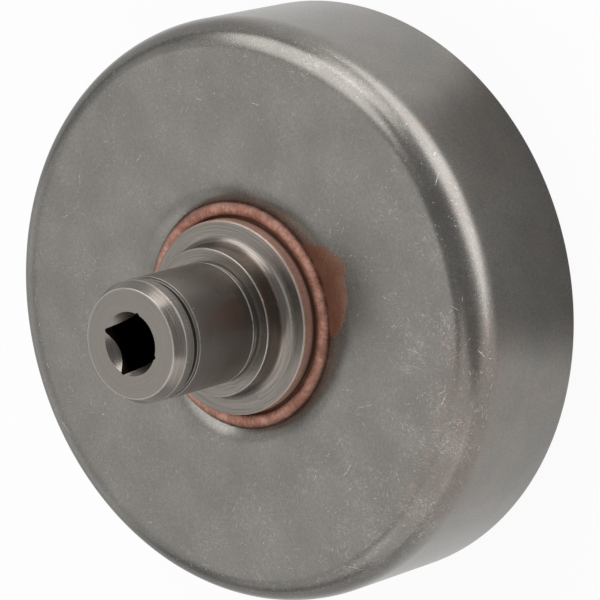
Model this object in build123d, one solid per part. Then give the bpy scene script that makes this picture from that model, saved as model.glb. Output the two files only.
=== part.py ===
from build123d import *

import math
import os

# Clutch drum with a brazed-in stub shaft. Millimetres.
# The drum stands on its open rim at Z = 0 with the shaft pointing up along +Z.
# The flats of the square drive socket face +X, -X, +Y and -Y.

# Drum: a pressed steel cup. The face rounds down into its hole, over a low collar on the inside.
drum_diameter = 82.0
drum_sheet = 2.5
drum_height = 23.4
drum_corner_radius = 5.0
rim_edge_break = 0.3
hole_rounding = 8.0
hole_rounding_reach = 6.8
collar_drop = 1.95
collar_wall = 2.7

# Shaft: a turned stub with its flange in the collar.
flange_diameter = 27.2
flange_rise = 1.25
flange_chamfer = 0.35
flange_root_fillet = 1.3
shaft_inner_edge_break = 0.2
shoulder_diameter = 20.8
shoulder_length = 3.85
shoulder_chamfer = 0.3

# Bearing seat with a grinding relief at the shoulder and a retaining ring groove at the far end.
bearing_bore = 17.0
bearing_width = 12.0
bearing_end_play = 0.05
relief_width = 0.6
relief_depth = 0.2
groove_width = 1.1
groove_depth = 0.4
land_undersize = 0.05
land_width = 1.6
tip_chamfer_length = 1.75
tip_chamfer_depth = 0.85

# Square drive socket, broached over a drilled pilot.
socket_across_flats = 6.7
socket_corner_radius = 0.25
socket_depth = 20.0
socket_mouth_diameter = 8.8
socket_mouth_angle = 75.0
pilot_undersize = 0.4
pilot_extra_depth = 2.0
pilot_point_angle = 118.0

# Copper braze: a skirt in the joint, a bead in the groove above it and a run of metal on the face.
joint_gap = 0.15
bead_reach = 2.05
bead_height = 0.9
valley_offset = 0.3
valley_rise = 0.4
meniscus_rise = 0.6
spill_thickness = 0.12
spill_reach = 6.6
spill_start_angle = -122.0
spill_end_angle = -71.0
spill_lobes = (0.0, 0.48, 0.65, 0.78, 0.84, 0.97, 0.68, 0.35, 0.0)
spill_overlap = 0.3

# Radii
drum_radius = drum_diameter / 2
bore_radius = drum_radius - drum_sheet
inner_corner_radius = max(drum_corner_radius - drum_sheet, 0.5)
flange_radius = flange_diameter / 2
hole_radius = flange_radius + joint_gap
collar_radius = hole_radius + collar_wall
rounding_radius = hole_radius + hole_rounding_reach
bead_radius = hole_radius + bead_reach
shoulder_radius = shoulder_diameter / 2
seat_radius = bearing_bore / 2
land_radius = seat_radius - land_undersize
tip_radius = land_radius - tip_chamfer_depth

# Heights
inner_face = drum_height - drum_sheet
rounding_centre = drum_height - hole_rounding
collar_floor = inner_face - collar_drop
flange_top = drum_height + flange_rise
shoulder_top = flange_top + shoulder_length
groove_start = shoulder_top + bearing_width + bearing_end_play
groove_end = groove_start + groove_width
land_end = groove_end + land_width
tip_top = land_end + tip_chamfer_length


def closed_face(*curves):
    """The flat face inside curves that follow one another around a closed outline."""
    edges = [edge for curve in curves for edge in curve.edges()]
    return make_face(Wire(edges))


def turned(*curves):
    """A solid of revolution about Z from curves drawn in the XZ plane as (radius, height)."""
    return revolve(Plane.XZ * closed_face(*curves), Axis.Z)


def rounding_point(radius, offset=0.0):
    """A point at a radius on the hole's rounding, or on a surface at a distance above it."""
    run = rounding_radius - radius
    reach = hole_rounding + offset
    return (radius, rounding_centre + math.sqrt(reach**2 - run**2))


def rounding_arc(start_radius, end_radius, offset=0.0):
    """The hole's rounding, or a surface at a distance above it, between two radii."""
    middle_radius = (start_radius + end_radius) / 2
    return ThreePointArc(
        rounding_point(start_radius, offset),
        rounding_point(middle_radius, offset),
        rounding_point(end_radius, offset),
    )


def make_drum():
    """The cup: wall, rounded corner, face, hole with its rounded edge and collar, bore and rim."""
    outer_centre = (drum_radius - drum_corner_radius, drum_height - drum_corner_radius)
    inner_centre = (bore_radius - inner_corner_radius, inner_face - inner_corner_radius)
    outer_corner = CenterArc(outer_centre, drum_corner_radius, 0, 90)
    inner_corner = CenterArc(inner_centre, inner_corner_radius, 90, -90)
    hole_edge = rounding_arc(rounding_radius, hole_radius)
    return turned(
        Polyline(
            inner_corner @ 1,
            (bore_radius, rim_edge_break),
            (bore_radius + rim_edge_break, 0),
            (drum_radius - rim_edge_break, 0),
            (drum_radius, rim_edge_break),
            outer_corner @ 0,
        ),
        outer_corner,
        Line(outer_corner @ 1, hole_edge @ 0),
        hole_edge,
        Polyline(
            hole_edge @ 1,
            (hole_radius, collar_floor),
            (collar_radius, collar_floor),
            (collar_radius + collar_drop, inner_face),
            inner_corner @ 0,
        ),
        inner_corner,
    )


def make_socket():
    """The space of the drive socket: square, conical mouth, pilot and drill point."""
    square = RectangleRounded(socket_across_flats, socket_across_flats, socket_corner_radius)
    square_floor = tip_top - socket_depth
    space = Pos(0, 0, square_floor) * extrude(square, socket_depth)

    mouth_radius = socket_mouth_diameter / 2
    mouth_depth = mouth_radius / math.tan(math.radians(socket_mouth_angle / 2))
    space += turned(Polyline((0, tip_top), (mouth_radius, tip_top), (0, tip_top - mouth_depth), (0, tip_top)))

    pilot_radius = (socket_across_flats - pilot_undersize) / 2
    pilot_floor = square_floor - pilot_extra_depth
    point_depth = pilot_radius / math.tan(math.radians(pilot_point_angle / 2))
    space += turned(
        Polyline(
            (0, square_floor),
            (pilot_radius, square_floor),
            (pilot_radius, pilot_floor),
            (0, pilot_floor - point_depth),
            (0, square_floor),
        )
    )
    return space


def make_shaft():
    """The turned stub: flange, root fillet, shoulder, bearing seat, groove, land, chamfer and socket."""
    base = collar_floor
    relief_radius = seat_radius - relief_depth
    groove_radius = seat_radius - groove_depth
    root_turn = flange_root_fillet * (1 - math.sqrt(0.5))
    root = ThreePointArc(
        (shoulder_radius + flange_root_fillet, flange_top),
        (shoulder_radius + root_turn, flange_top + root_turn),
        (shoulder_radius, flange_top + flange_root_fillet),
    )
    shaft = turned(
        Polyline(
            (0, tip_top),
            (0, base),
            (flange_radius - shaft_inner_edge_break, base),
            (flange_radius, base + shaft_inner_edge_break),
            (flange_radius, flange_top - flange_chamfer),
            (flange_radius - flange_chamfer, flange_top),
            root @ 0,
        ),
        root,
        Polyline(
            root @ 1,
            (shoulder_radius, shoulder_top - shoulder_chamfer),
            (shoulder_radius - shoulder_chamfer, shoulder_top),
            (relief_radius, shoulder_top),
            (relief_radius, shoulder_top + relief_width - relief_depth),
            (seat_radius, shoulder_top + relief_width),
            (seat_radius, groove_start),
            (groove_radius, groove_start),
            (groove_radius, groove_end),
            (land_radius, groove_end),
            (land_radius, land_end),
            (tip_radius, tip_top),
            (0, tip_top),
        ),
    )
    return shaft - make_socket()


def make_spill():
    """The copper that ran onto the face: a thin film on the rounding and face inside a lobed outline."""
    film_start = bead_radius - spill_overlap
    film_edge = bead_radius + spill_reach * 1.5
    film_top = drum_height + spill_thickness
    lower = rounding_arc(film_start, rounding_radius)
    upper = rounding_arc(rounding_radius, film_start, spill_thickness)
    film = turned(
        lower,
        Polyline(lower @ 1, (film_edge, drum_height), (film_edge, film_top), upper @ 0),
        upper,
        Line(upper @ 1, lower @ 0),
    )
    steps = len(spill_lobes) - 1
    angle_step = math.radians(spill_end_angle - spill_start_angle) / steps
    edge = []
    for index, lobe in enumerate(spill_lobes):
        angle = math.radians(spill_start_angle) + index * angle_step
        reach = bead_radius - spill_overlap / 2 + spill_reach * lobe
        edge.append((reach * math.cos(angle), reach * math.sin(angle)))
    curve = Spline(edge)
    outline = closed_face(curve, Polyline(curve @ 1, (0, 0), curve @ 0))
    keep = Pos(0, 0, rounding_centre) * extrude(outline, hole_rounding + 2 * spill_thickness)
    return film & keep


def make_braze():
    """The braze: skirt in the joint, bead in the groove, meniscus on the flange and the run on the face."""
    side = rounding_arc(hole_radius, bead_radius)
    bead_edge = side @ 1
    valley = (flange_radius + valley_offset, bead_edge.Y + valley_rise)
    crest = ((bead_radius + valley[0]) / 2, bead_edge.Y + bead_height)
    bead = turned(
        side,
        ThreePointArc(bead_edge, crest, valley),
        Polyline(
            valley,
            (flange_radius, bead_edge.Y + meniscus_rise),
            (flange_radius, collar_floor + shaft_inner_edge_break),
            (hole_radius, collar_floor + shaft_inner_edge_break),
            side @ 0,
        ),
    )
    return bead + make_spill()


nodes = {
    "drum_cup": make_drum(),
    "hub_shaft": make_shaft(),
    "braze_ring": make_braze(),
}

os.makedirs("parts", exist_ok=True)
for name, shape in nodes.items():
    export_step(shape, f"parts/{name}.step")
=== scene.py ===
"""A clutch drum with a brazed-in stub shaft, standing on its open rim on a pale floor."""

import logging
import math
from dataclasses import dataclass, field
from enum import Enum
from typing import Any, Iterable, Sequence

import bmesh
import bpy
from mathutils import Matrix, Vector, noise


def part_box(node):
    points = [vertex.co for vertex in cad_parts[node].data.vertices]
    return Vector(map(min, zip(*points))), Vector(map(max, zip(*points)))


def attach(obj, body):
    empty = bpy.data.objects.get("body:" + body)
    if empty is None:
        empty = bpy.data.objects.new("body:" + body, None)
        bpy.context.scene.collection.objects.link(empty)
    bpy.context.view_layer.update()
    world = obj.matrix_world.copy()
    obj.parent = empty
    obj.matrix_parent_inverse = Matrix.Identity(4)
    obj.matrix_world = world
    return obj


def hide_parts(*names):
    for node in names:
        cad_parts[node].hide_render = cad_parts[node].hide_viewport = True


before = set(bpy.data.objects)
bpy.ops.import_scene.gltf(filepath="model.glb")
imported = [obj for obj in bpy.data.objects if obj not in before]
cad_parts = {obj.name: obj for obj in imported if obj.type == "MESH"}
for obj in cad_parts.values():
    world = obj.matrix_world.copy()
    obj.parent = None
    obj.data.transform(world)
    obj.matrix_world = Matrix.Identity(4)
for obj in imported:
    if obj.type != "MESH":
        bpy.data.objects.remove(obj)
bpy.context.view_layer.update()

LOG = logging.getLogger("clutch_drum")

MM = 0.001
TAU = math.tau
MERGE_DISTANCE = 0.002 * MM
ARC_STEP = math.radians(5.0)
LONGEST_SPAN = 1.0
SHARP_ANGLE = math.radians(32.0)
BODY = "root"

Colour = tuple[float, float, float]
Point2 = tuple[float, float]


class Slot(Enum):
    """The record's material slots."""

    DRUM = "drum_steel"
    SHAFT = "shaft_steel"
    BRAZE = "braze_copper"


class Operation(Enum):
    """The kinds of number maths that expressions use."""

    ADD = "ADD"
    SUBTRACT = "SUBTRACT"
    MULTIPLY = "MULTIPLY"
    DIVIDE = "DIVIDE"
    POWER = "POWER"
    MAXIMUM = "MAXIMUM"
    MODULO = "MODULO"
    FLOOR = "FLOOR"
    SINE = "SINE"
    COSINE = "COSINE"
    ROOT = "SQRT"
    ANGLE = "ARCTAN2"
    ABOVE = "GREATER_THAN"
    BELOW = "LESS_THAN"


class Value:
    """A number that a socket carries, usable in Python expressions."""

    def __init__(self, graph: "Graph", socket: bpy.types.NodeSocket) -> None:
        """Keeps the socket and the graph that it belongs to."""
        self.graph = graph
        self.socket = socket

    def apply(self, operation: Operation, *others: Any, first: Any = None) -> "Value":
        """Adds a Math node.

        Args:
            operation: What the node does.
            others: The numbers after this one.
            first: The number before this one, for reflected forms.

        Returns:
            The node's result.
        """
        terms = [self, *others] if first is None else [first, self, *others]
        return self.graph.math(operation, *terms)

    def __add__(self, other: Any) -> "Value":
        """This plus another number."""
        return self.apply(Operation.ADD, other)

    __radd__ = __add__

    def __sub__(self, other: Any) -> "Value":
        """This less another number."""
        return self.apply(Operation.SUBTRACT, other)

    def __rsub__(self, other: Any) -> "Value":
        """Another number less this."""
        return self.apply(Operation.SUBTRACT, first=other)

    def __mul__(self, other: Any) -> "Value":
        """This times another number."""
        return self.apply(Operation.MULTIPLY, other)

    __rmul__ = __mul__

    def __truediv__(self, other: Any) -> "Value":
        """This over another number."""
        return self.apply(Operation.DIVIDE, other)

    def __rtruediv__(self, other: Any) -> "Value":
        """Another number over this."""
        return self.apply(Operation.DIVIDE, first=other)

    def __pow__(self, other: Any) -> "Value":
        """This to a power."""
        return self.apply(Operation.POWER, other)

    def __mod__(self, other: Any) -> "Value":
        """What is left after division."""
        return self.apply(Operation.MODULO, other)

    def __gt__(self, other: Any) -> "Value":
        """1 where this is above the other number."""
        return self.apply(Operation.ABOVE, other)

    def __lt__(self, other: Any) -> "Value":
        """1 where this is below the other number."""
        return self.apply(Operation.BELOW, other)

    def most(self, other: Any) -> "Value":
        """The larger of two numbers."""
        return self.apply(Operation.MAXIMUM, other)

    def ramp(self, low: float, high: float) -> "Value":
        """A soft step from 0 at low to 1 at high.

        Args:
            low: The number where the step begins.
            high: The number where it ends.

        Returns:
            The step.
        """
        node = self.graph.node(
            "ShaderNodeMapRange",
            {"interpolation_type": "SMOOTHSTEP"},
            {"Value": self, "From Min": low, "From Max": high},
        )
        return Value(self.graph, node.outputs[0])

    def band(self, low: float, high: float, soft: float) -> "Value":
        """1 between two numbers, with soft ends."""
        return self.ramp(low - soft, low + soft) * (1 - self.ramp(high - soft, high + soft))


class Graph:
    """A node tree with short ways to add nodes, for materials and for geometry."""

    def __init__(self, tree: bpy.types.NodeTree) -> None:
        """Keeps the tree."""
        self.tree = tree

    def node(
        self, kind: str, settings: dict[str, Any] | None = None, inputs: dict[Any, Any] | None = None
    ) -> Any:
        """Adds a node.

        Args:
            kind: The node's type.
            settings: Its properties, set first.
            inputs: Values or links for its sockets, by name or number.

        Returns:
            The node.
        """
        made = self.tree.nodes.new(kind)
        for name, value in (settings or {}).items():
            setattr(made, name, value)
        for key, value in (inputs or {}).items():
            self.feed(made.inputs[key], value)
        return made

    def feed(self, socket: bpy.types.NodeSocket, value: Any) -> None:
        """Links or sets one input socket.

        Args:
            socket: The input.
            value: A value or a socket to link, or a constant to set.
        """
        source = value.socket if isinstance(value, Value) else value
        if isinstance(source, bpy.types.NodeSocket):
            self.tree.links.new(source, socket)
        else:
            socket.default_value = source

    def math(self, operation: Operation, *terms: Any) -> Value:
        """A Math node on up to two terms."""
        made = self.node("ShaderNodeMath", {"operation": operation.value}, dict(enumerate(terms)))
        return Value(self, made.outputs[0])

    def parts(self, vector: bpy.types.NodeSocket) -> tuple[Value, Value, Value]:
        """The three numbers of a vector."""
        made = self.node("ShaderNodeSeparateXYZ", None, {0: vector})
        return tuple(Value(self, socket) for socket in made.outputs)

    def vector(self, x: Any, y: Any, z: Any) -> bpy.types.NodeSocket:
        """A vector from three numbers."""
        return self.node("ShaderNodeCombineXYZ", None, {0: x, 1: y, 2: z}).outputs[0]

    def scaled(self, vector: bpy.types.NodeSocket, factor: Any) -> bpy.types.NodeSocket:
        """A vector or a colour times a number."""
        made = self.node("ShaderNodeVectorMath", {"operation": "SCALE"}, {0: vector, "Scale": factor})
        return made.outputs[0]


class Paint(Graph):
    """A material's node tree, with a Principled shader and coordinates in millimetres."""

    def __init__(self, name: str) -> None:
        """Makes the material with its shader and coordinates.

        Args:
            name: The material's name.
        """
        self.material = bpy.data.materials.new(name)
        self.material.use_nodes = True
        super().__init__(self.material.node_tree)
        self.tree.nodes.clear()
        self.shader = self.node("ShaderNodeBsdfPrincipled")
        output = self.node("ShaderNodeOutputMaterial")
        self.tree.links.new(self.shader.outputs[0], output.inputs["Surface"])
        coordinates = self.node("ShaderNodeTexCoord")
        self.point = self.scaled(coordinates.outputs["Object"], 1 / MM)
        self.x, self.y, self.z = self.parts(self.point)
        self.radius = self.math(Operation.ROOT, self.x * self.x + self.y * self.y)
        self.angle = self.math(Operation.ANGLE, self.y, self.x)

    def noise(self, scale: float, detail: float = 2.0, rough: float = 0.5, at: Any = None) -> Value:
        """A noise pattern.

        Args:
            scale: How many times it changes in a millimetre.
            detail: How many finer layers it has.
            rough: How strong the finer layers are.
            at: The vector that it follows, or the place in millimetres.

        Returns:
            A number from 0 to 1.
        """
        made = self.node(
            "ShaderNodeTexNoise",
            {"noise_dimensions": "3D"},
            {"Vector": at or self.point, "Scale": scale, "Detail": detail, "Roughness": rough},
        )
        return Value(self, made.outputs[0])

    def rings(self, scale: float, drift: float, detail: float, rough: float) -> Value:
        """A noise that runs in rings about Z, as a cutting tool or a drawing die leaves it.

        Args:
            scale: How many times it changes in a millimetre across the rings.
            drift: How many times it changes in a radian along them.
            detail: How many finer layers it has.
            rough: How strong the finer layers are.

        Returns:
            A number from 0 to 1.
        """
        place = self.vector(self.radius * scale, self.z * scale, self.angle * drift)
        return self.noise(1.0, detail, rough, place)

    def facing(self, azimuth: float) -> Value:
        """The cosine of the turn about Z from an azimuth: 1 towards it and -1 away from it."""
        return (self.x * math.cos(azimuth) + self.y * math.sin(azimuth)) / self.radius

    def zone(self, heights: tuple[float, float], soft: float, radii: tuple[float, float]) -> Value:
        """1 between two heights, with soft ends, rising from 0 to 1 between two radii."""
        return self.z.band(*heights, soft) * self.radius.ramp(*radii)

    def attribute(self, name: str) -> Value:
        """A number that the mesh carries at its points."""
        made = self.node("ShaderNodeAttribute", {"attribute_type": "GEOMETRY", "attribute_name": name})
        return Value(self, made.outputs["Fac"])

    def blend(self, share: Value, below: Any, above: Any) -> bpy.types.NodeSocket:
        """A colour between two colours.

        Args:
            share: 0 for the first colour, 1 for the second.
            below: The first colour or its socket.
            above: The second colour or its socket.

        Returns:
            The mixed colour's socket.
        """
        made = self.node("ShaderNodeMix", {"data_type": "RGBA"})
        self.feed(made.inputs[0], share)
        for index, colour in ((6, below), (7, above)):
            self.feed(made.inputs[index], (*colour, 1.0) if isinstance(colour, tuple) else colour)
        return made.outputs[2]

    def near(self, radius: float, height: float, reach: float) -> Value:
        """Marks a turned edge.

        Args:
            radius: The edge's radius in millimetres.
            height: The edge's height in millimetres.
            reach: The distance where the mark ends.

        Returns:
            1 on the edge, falling to 0 at the distance.
        """
        aside = self.radius - radius
        along = self.z - height
        return 1 - self.math(Operation.ROOT, aside * aside + along * along).ramp(0.35 * reach, reach)

    def relief(self, height: Value, depth: float) -> None:
        """Gives the shader a bump.

        Args:
            height: The relief, from 0 to 1.
            depth: How deep it is, in millimetres.
        """
        sizes = {"Strength": 1.0, "Distance": depth * MM, "Height": height}
        made = self.node("ShaderNodeBump", None, sizes)
        self.tree.links.new(made.outputs[0], self.shader.inputs["Normal"])

    def finish(
        self, colour: Any, roughness: Any, metallic: Any = 1.0, edge_tint: Colour = (1.0, 1.0, 1.0)
    ) -> bpy.types.Material:
        """Feeds the shader's main sockets.

        Args:
            colour: The base colour's socket.
            roughness: A number or a value.
            metallic: A number or a value.
            edge_tint: How much of the light a metal throws back where it is seen edge-on.

        Returns:
            The finished material.
        """
        self.feed(self.shader.inputs["Base Color"], colour)
        self.feed(self.shader.inputs["Roughness"], roughness)
        self.feed(self.shader.inputs["Metallic"], metallic)
        self.shader.inputs["Specular Tint"].default_value = (*edge_tint, 1.0)
        return self.material


@dataclass(frozen=True)
class Corner:
    """A corner of a turned profile: radius, height and rounding, in millimetres."""

    radius: float
    height: float
    rounding: float = 0.0


def rounded(corners: Sequence[Corner], closed: bool) -> list[Point2]:
    """Turns corners into a profile with arcs at the rounded ones.

    Args:
        corners: The corners in order.
        closed: Whether the last corner joins the first.

    Returns:
        Points as (radius, height).
    """
    points: list[Point2] = []
    count = len(corners)
    for index, corner in enumerate(corners):
        here = Vector((corner.radius, corner.height))
        is_end = not closed and index in (0, count - 1)
        if corner.rounding == 0 or is_end:
            points.append(tuple(here))
            continue
        before = corners[index - 1]
        after = corners[(index + 1) % count]
        to_before = (Vector((before.radius, before.height)) - here).normalized()
        to_after = (Vector((after.radius, after.height)) - here).normalized()
        inner = to_before.angle(to_after)
        turn = math.pi - inner
        centre = here + (to_before + to_after).normalized() * (corner.rounding / math.sin(inner / 2))
        reach = corner.rounding / math.tan(inner / 2)
        start = here + to_before * reach - centre
        end = here + to_after * reach - centre
        steps = max(3, math.ceil(turn / ARC_STEP))
        for step in range(steps + 1):
            share = step / steps
            spoke = (start * math.sin((1 - share) * turn) + end * math.sin(share * turn)) / math.sin(turn)
            points.append(tuple(centre + spoke))
    return points


def divided(points: Sequence[Point2], closed: bool) -> list[Point2]:
    """Splits long spans of a profile, so that its faces stay small.

    Args:
        points: The profile as (radius, height).
        closed: Whether the last point joins the first.

    Returns:
        The profile with more points.
    """
    ends = list(points) + ([points[0]] if closed else [])
    result: list[Point2] = [ends[0]]
    for start, end in zip(ends, ends[1:]):
        pieces = max(1, math.ceil(math.dist(start, end) / LONGEST_SPAN))
        for piece in range(1, pieces + 1):
            share = piece / pieces
            result.append((start[0] + (end[0] - start[0]) * share, start[1] + (end[1] - start[1]) * share))
    return result


class GeometryTree(Graph):
    """A geometry node tree with named inputs, set on a modifier by identifier."""

    def __init__(self, name: str, inputs: dict[str, str]) -> None:
        """Makes the tree with a geometry input, named inputs and a geometry output.

        Args:
            name: The tree's name.
            inputs: Socket type by input name.
        """
        super().__init__(bpy.data.node_groups.new(name, "GeometryNodeTree"))
        face = self.tree.interface
        face.new_socket("Geometry", in_out="INPUT", socket_type="NodeSocketGeometry")
        face.new_socket("Geometry", in_out="OUTPUT", socket_type="NodeSocketGeometry")
        self.identifiers = {
            label: face.new_socket(label, in_out="INPUT", socket_type=kind).identifier
            for label, kind in inputs.items()
        }
        self.given = self.node("NodeGroupInput").outputs
        self.result = self.node("NodeGroupOutput").inputs[0]

    def number(self, label: str) -> Value:
        """One of the tree's inputs as a number."""
        return Value(self, self.given[label])

    def deliver(self, geometry: bpy.types.NodeSocket, material: str) -> None:
        """Ends the tree in real faces with a material.

        Args:
            geometry: The faces.
            material: The name of the input that holds the material.
        """
        real = self.node("GeometryNodeRealizeInstances", None, {"Geometry": geometry})
        dressed = self.node(
            "GeometryNodeSetMaterial",
            None,
            {"Geometry": real.outputs[0], "Material": self.given[material]},
        )
        self.tree.links.new(dressed.outputs[0], self.result)

    def grow(self, name: str, mesh: bpy.types.Mesh, values: dict[str, Any]) -> bpy.types.Object:
        """Runs the tree on a mesh and keeps the result as a plain mesh.

        Args:
            name: The new object's name.
            mesh: What the tree starts from.
            values: The inputs' values by name.

        Returns:
            An object at the origin with no modifier.
        """
        piece = placed(name, mesh)
        modifier = piece.modifiers.new("shape", "NODES")
        modifier.node_group = self.tree
        for label, value in values.items():
            modifier[self.identifiers[label]] = value
        plain = evaluated_mesh(piece)
        piece.modifiers.clear()
        piece.data = plain
        plain.name = name
        return piece


def placed(name: str, data: bpy.types.ID) -> bpy.types.Object:
    """Puts a new object in the scene.

    Args:
        name: The object's name.
        data: Its mesh, light or camera.

    Returns:
        The object.
    """
    made = bpy.data.objects.new(name, data)
    bpy.context.scene.collection.objects.link(made)
    return made


def closed_mesh(name: str, work: bmesh.types.BMesh) -> bpy.types.Mesh:
    """Ends the work on a closed shape.

    Args:
        name: The mesh's name.
        work: The shape, which is freed.

    Returns:
        A mesh with its faces pointing outwards.
    """
    bmesh.ops.recalc_face_normals(work, faces=work.faces)
    mesh = bpy.data.meshes.new(name)
    work.to_mesh(mesh)
    work.free()
    return mesh


def evaluated_mesh(piece: bpy.types.Object) -> bpy.types.Mesh:
    """Applies an object's modifiers.

    Args:
        piece: The object, which keeps its own mesh.

    Returns:
        A plain mesh of what the modifiers make.
    """
    bpy.context.view_layer.update()
    shown = piece.evaluated_get(bpy.context.evaluated_depsgraph_get())
    return bpy.data.meshes.new_from_object(shown)


class LatheTree(GeometryTree):
    """Turns a profile around the Z axis."""

    def __init__(self) -> None:
        """Builds the tree."""
        counts = dict.fromkeys(("Steps Around", "Profile Points"), "NodeSocketInt")
        super().__init__("turned_profile", {**counts, "Finish": "NodeSocketMaterial"})
        steps = self.number("Steps Around")
        rows = self.number("Profile Points")
        grid = self.node("GeometryNodeMeshGrid", None, {"Vertices X": steps + 1, "Vertices Y": rows})
        index = Value(self, self.node("GeometryNodeInputIndex").outputs[0])
        turn = self.math(Operation.FLOOR, index / rows) / steps * TAU
        place = self.node("GeometryNodeInputPosition").outputs[0]
        sample = self.node(
            "GeometryNodeSampleIndex",
            {"data_type": "FLOAT_VECTOR", "domain": "POINT"},
            {"Geometry": self.given["Geometry"], "Value": place, "Index": index % rows},
        )
        radius, _, height = self.parts(sample.outputs[0])
        around = self.vector(
            radius * self.math(Operation.COSINE, turn),
            radius * self.math(Operation.SINE, turn),
            height,
        )
        moved = self.node(
            "GeometryNodeSetPosition", None, {"Geometry": grid.outputs[0], "Position": around}
        )
        merged = self.node(
            "GeometryNodeMergeByDistance", None, {"Geometry": moved.outputs[0], "Distance": MERGE_DISTANCE}
        )
        self.deliver(merged.outputs[0], "Finish")

    def turn(
        self, name: str, profile: Sequence[Point2], steps: int, material: bpy.types.Material | None
    ) -> bpy.types.Object:
        """Makes a turned piece.

        Args:
            name: The piece's name.
            profile: Points as (radius, height) in millimetres.
            steps: Faces around.
            material: Its finish, or none for a shape that only cuts.

        Returns:
            The piece, smooth with sharp edges.
        """
        line = bpy.data.meshes.new(name)
        line.from_pydata([(radius * MM, 0.0, height * MM) for radius, height in profile], [], [])
        values = {"Steps Around": steps, "Profile Points": len(profile), "Finish": material}
        piece = self.grow(name, line, values)
        point_outwards(piece.data)
        return piece


def point_outwards(mesh: bpy.types.Mesh) -> None:
    """Merges doubles, points the faces outwards and smooths them between sharp edges.

    Args:
        mesh: A closed mesh.
    """
    work = bmesh.new()
    work.from_mesh(mesh)
    bmesh.ops.remove_doubles(work, verts=work.verts, dist=MERGE_DISTANCE)
    bmesh.ops.dissolve_degenerate(work, edges=work.edges, dist=MERGE_DISTANCE)
    bmesh.ops.recalc_face_normals(work, faces=work.faces)
    work.to_mesh(mesh)
    work.free()
    mesh.shade_smooth()
    mesh.set_sharp_from_angle(angle=SHARP_ANGLE)


class NickTree(GeometryTree):
    """Scatters small bright nicks over the outside of a turned shell."""

    LENGTHS = ("Inner Radius", "Lowest", "Short", "Long", "Thin", "Rise")
    PATCH_EDGES = (0.40, 0.66)
    THICK_SIDE = (-0.2, 0.95)
    THIN_SIDE_SHARE = 0.55
    THICK_SIDE_EXTRA = 0.8
    SHORT_BIAS = 3
    FLAKE_SIDES = 6
    FLAKE_TOP = 0.35

    def __init__(self) -> None:
        """Builds the tree."""
        numbers = ("Per Square Metre", "Patch Scale", "Thick Azimuth", *self.LENGTHS)
        kinds = dict.fromkeys(numbers, "NodeSocketFloat")
        kinds |= {"Seed": "NodeSocketInt", "Finish": "NodeSocketMaterial"}
        super().__init__("handling_nicks", kinds)
        shell = self.given["Geometry"]
        normal = self.node("GeometryNodeInputNormal").outputs[0]
        place = self.node("GeometryNodeInputPosition").outputs[0]
        x, y, z = self.parts(place)
        facing = self.node("ShaderNodeVectorMath", {"operation": "DOT_PRODUCT"}, {0: normal, 1: place})
        outside = (Value(self, facing.outputs["Value"]) > 0) * (z > self.number("Lowest"))
        radius = self.math(Operation.ROOT, x * x + y * y)
        away = radius > self.number("Inner Radius")
        patches = self.node(
            "ShaderNodeTexNoise",
            {"noise_dimensions": "3D"},
            {"Vector": place, "Scale": self.number("Patch Scale"), "Detail": 2.0},
        )
        azimuth = self.number("Thick Azimuth")
        towards = x * self.math(Operation.COSINE, azimuth) + y * self.math(Operation.SINE, azimuth)
        lean = (towards / radius).ramp(*self.THICK_SIDE)
        patchy = Value(self, patches.outputs[0]).ramp(*self.PATCH_EDGES)
        patchy = patchy * (self.THIN_SIDE_SHARE + self.THICK_SIDE_EXTRA * lean)
        points = self.node(
            "GeometryNodeDistributePointsOnFaces",
            {"distribute_method": "RANDOM"},
            {
                "Mesh": shell,
                "Selection": outside * away,
                "Density": self.number("Per Square Metre") * patchy,
                "Seed": self.number("Seed"),
            },
        )
        short, long = self.number("Short"), self.number("Long")
        length = self.random(0.0, 1.0, 1) ** self.SHORT_BIAS * (long - short) + short
        size = self.vector(length, self.random(0.5, 1.5, 2) * self.number("Thin"), self.number("Rise"))
        spin = self.vector(0.0, 0.0, self.random(0.0, TAU, 3))
        spin = self.node("FunctionNodeEulerToRotation", None, {0: spin})
        turned = self.node(
            "FunctionNodeRotateRotation",
            {"rotation_space": "LOCAL"},
            {0: points.outputs["Rotation"], 1: spin.outputs[0]},
        )
        flake = self.node(
            "GeometryNodeMeshCone",
            {"fill_type": "NONE"},
            {
                "Vertices": self.FLAKE_SIDES,
                "Radius Top": self.FLAKE_TOP,
                "Radius Bottom": 1.0,
                "Depth": 1.0,
            },
        )
        copies = self.node(
            "GeometryNodeInstanceOnPoints",
            None,
            {
                "Points": points.outputs[0],
                "Instance": flake.outputs[0],
                "Rotation": turned.outputs[0],
                "Scale": size,
            },
        )
        self.deliver(copies.outputs[0], "Finish")

    def random(self, low: float, high: float, seed: int) -> Value:
        """A random number for each copy.

        Args:
            low: The smallest number.
            high: The largest number.
            seed: The seed of the draw.

        Returns:
            The number.
        """
        made = self.node("FunctionNodeRandomValue", {"data_type": "FLOAT"})
        floats = [socket for socket in made.inputs if socket.type == "VALUE" and socket.enabled]
        floats[0].default_value = low
        floats[1].default_value = high
        made.inputs["Seed"].default_value = seed
        shown = [socket for socket in made.outputs if socket.enabled]
        return Value(self, shown[0])


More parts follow.
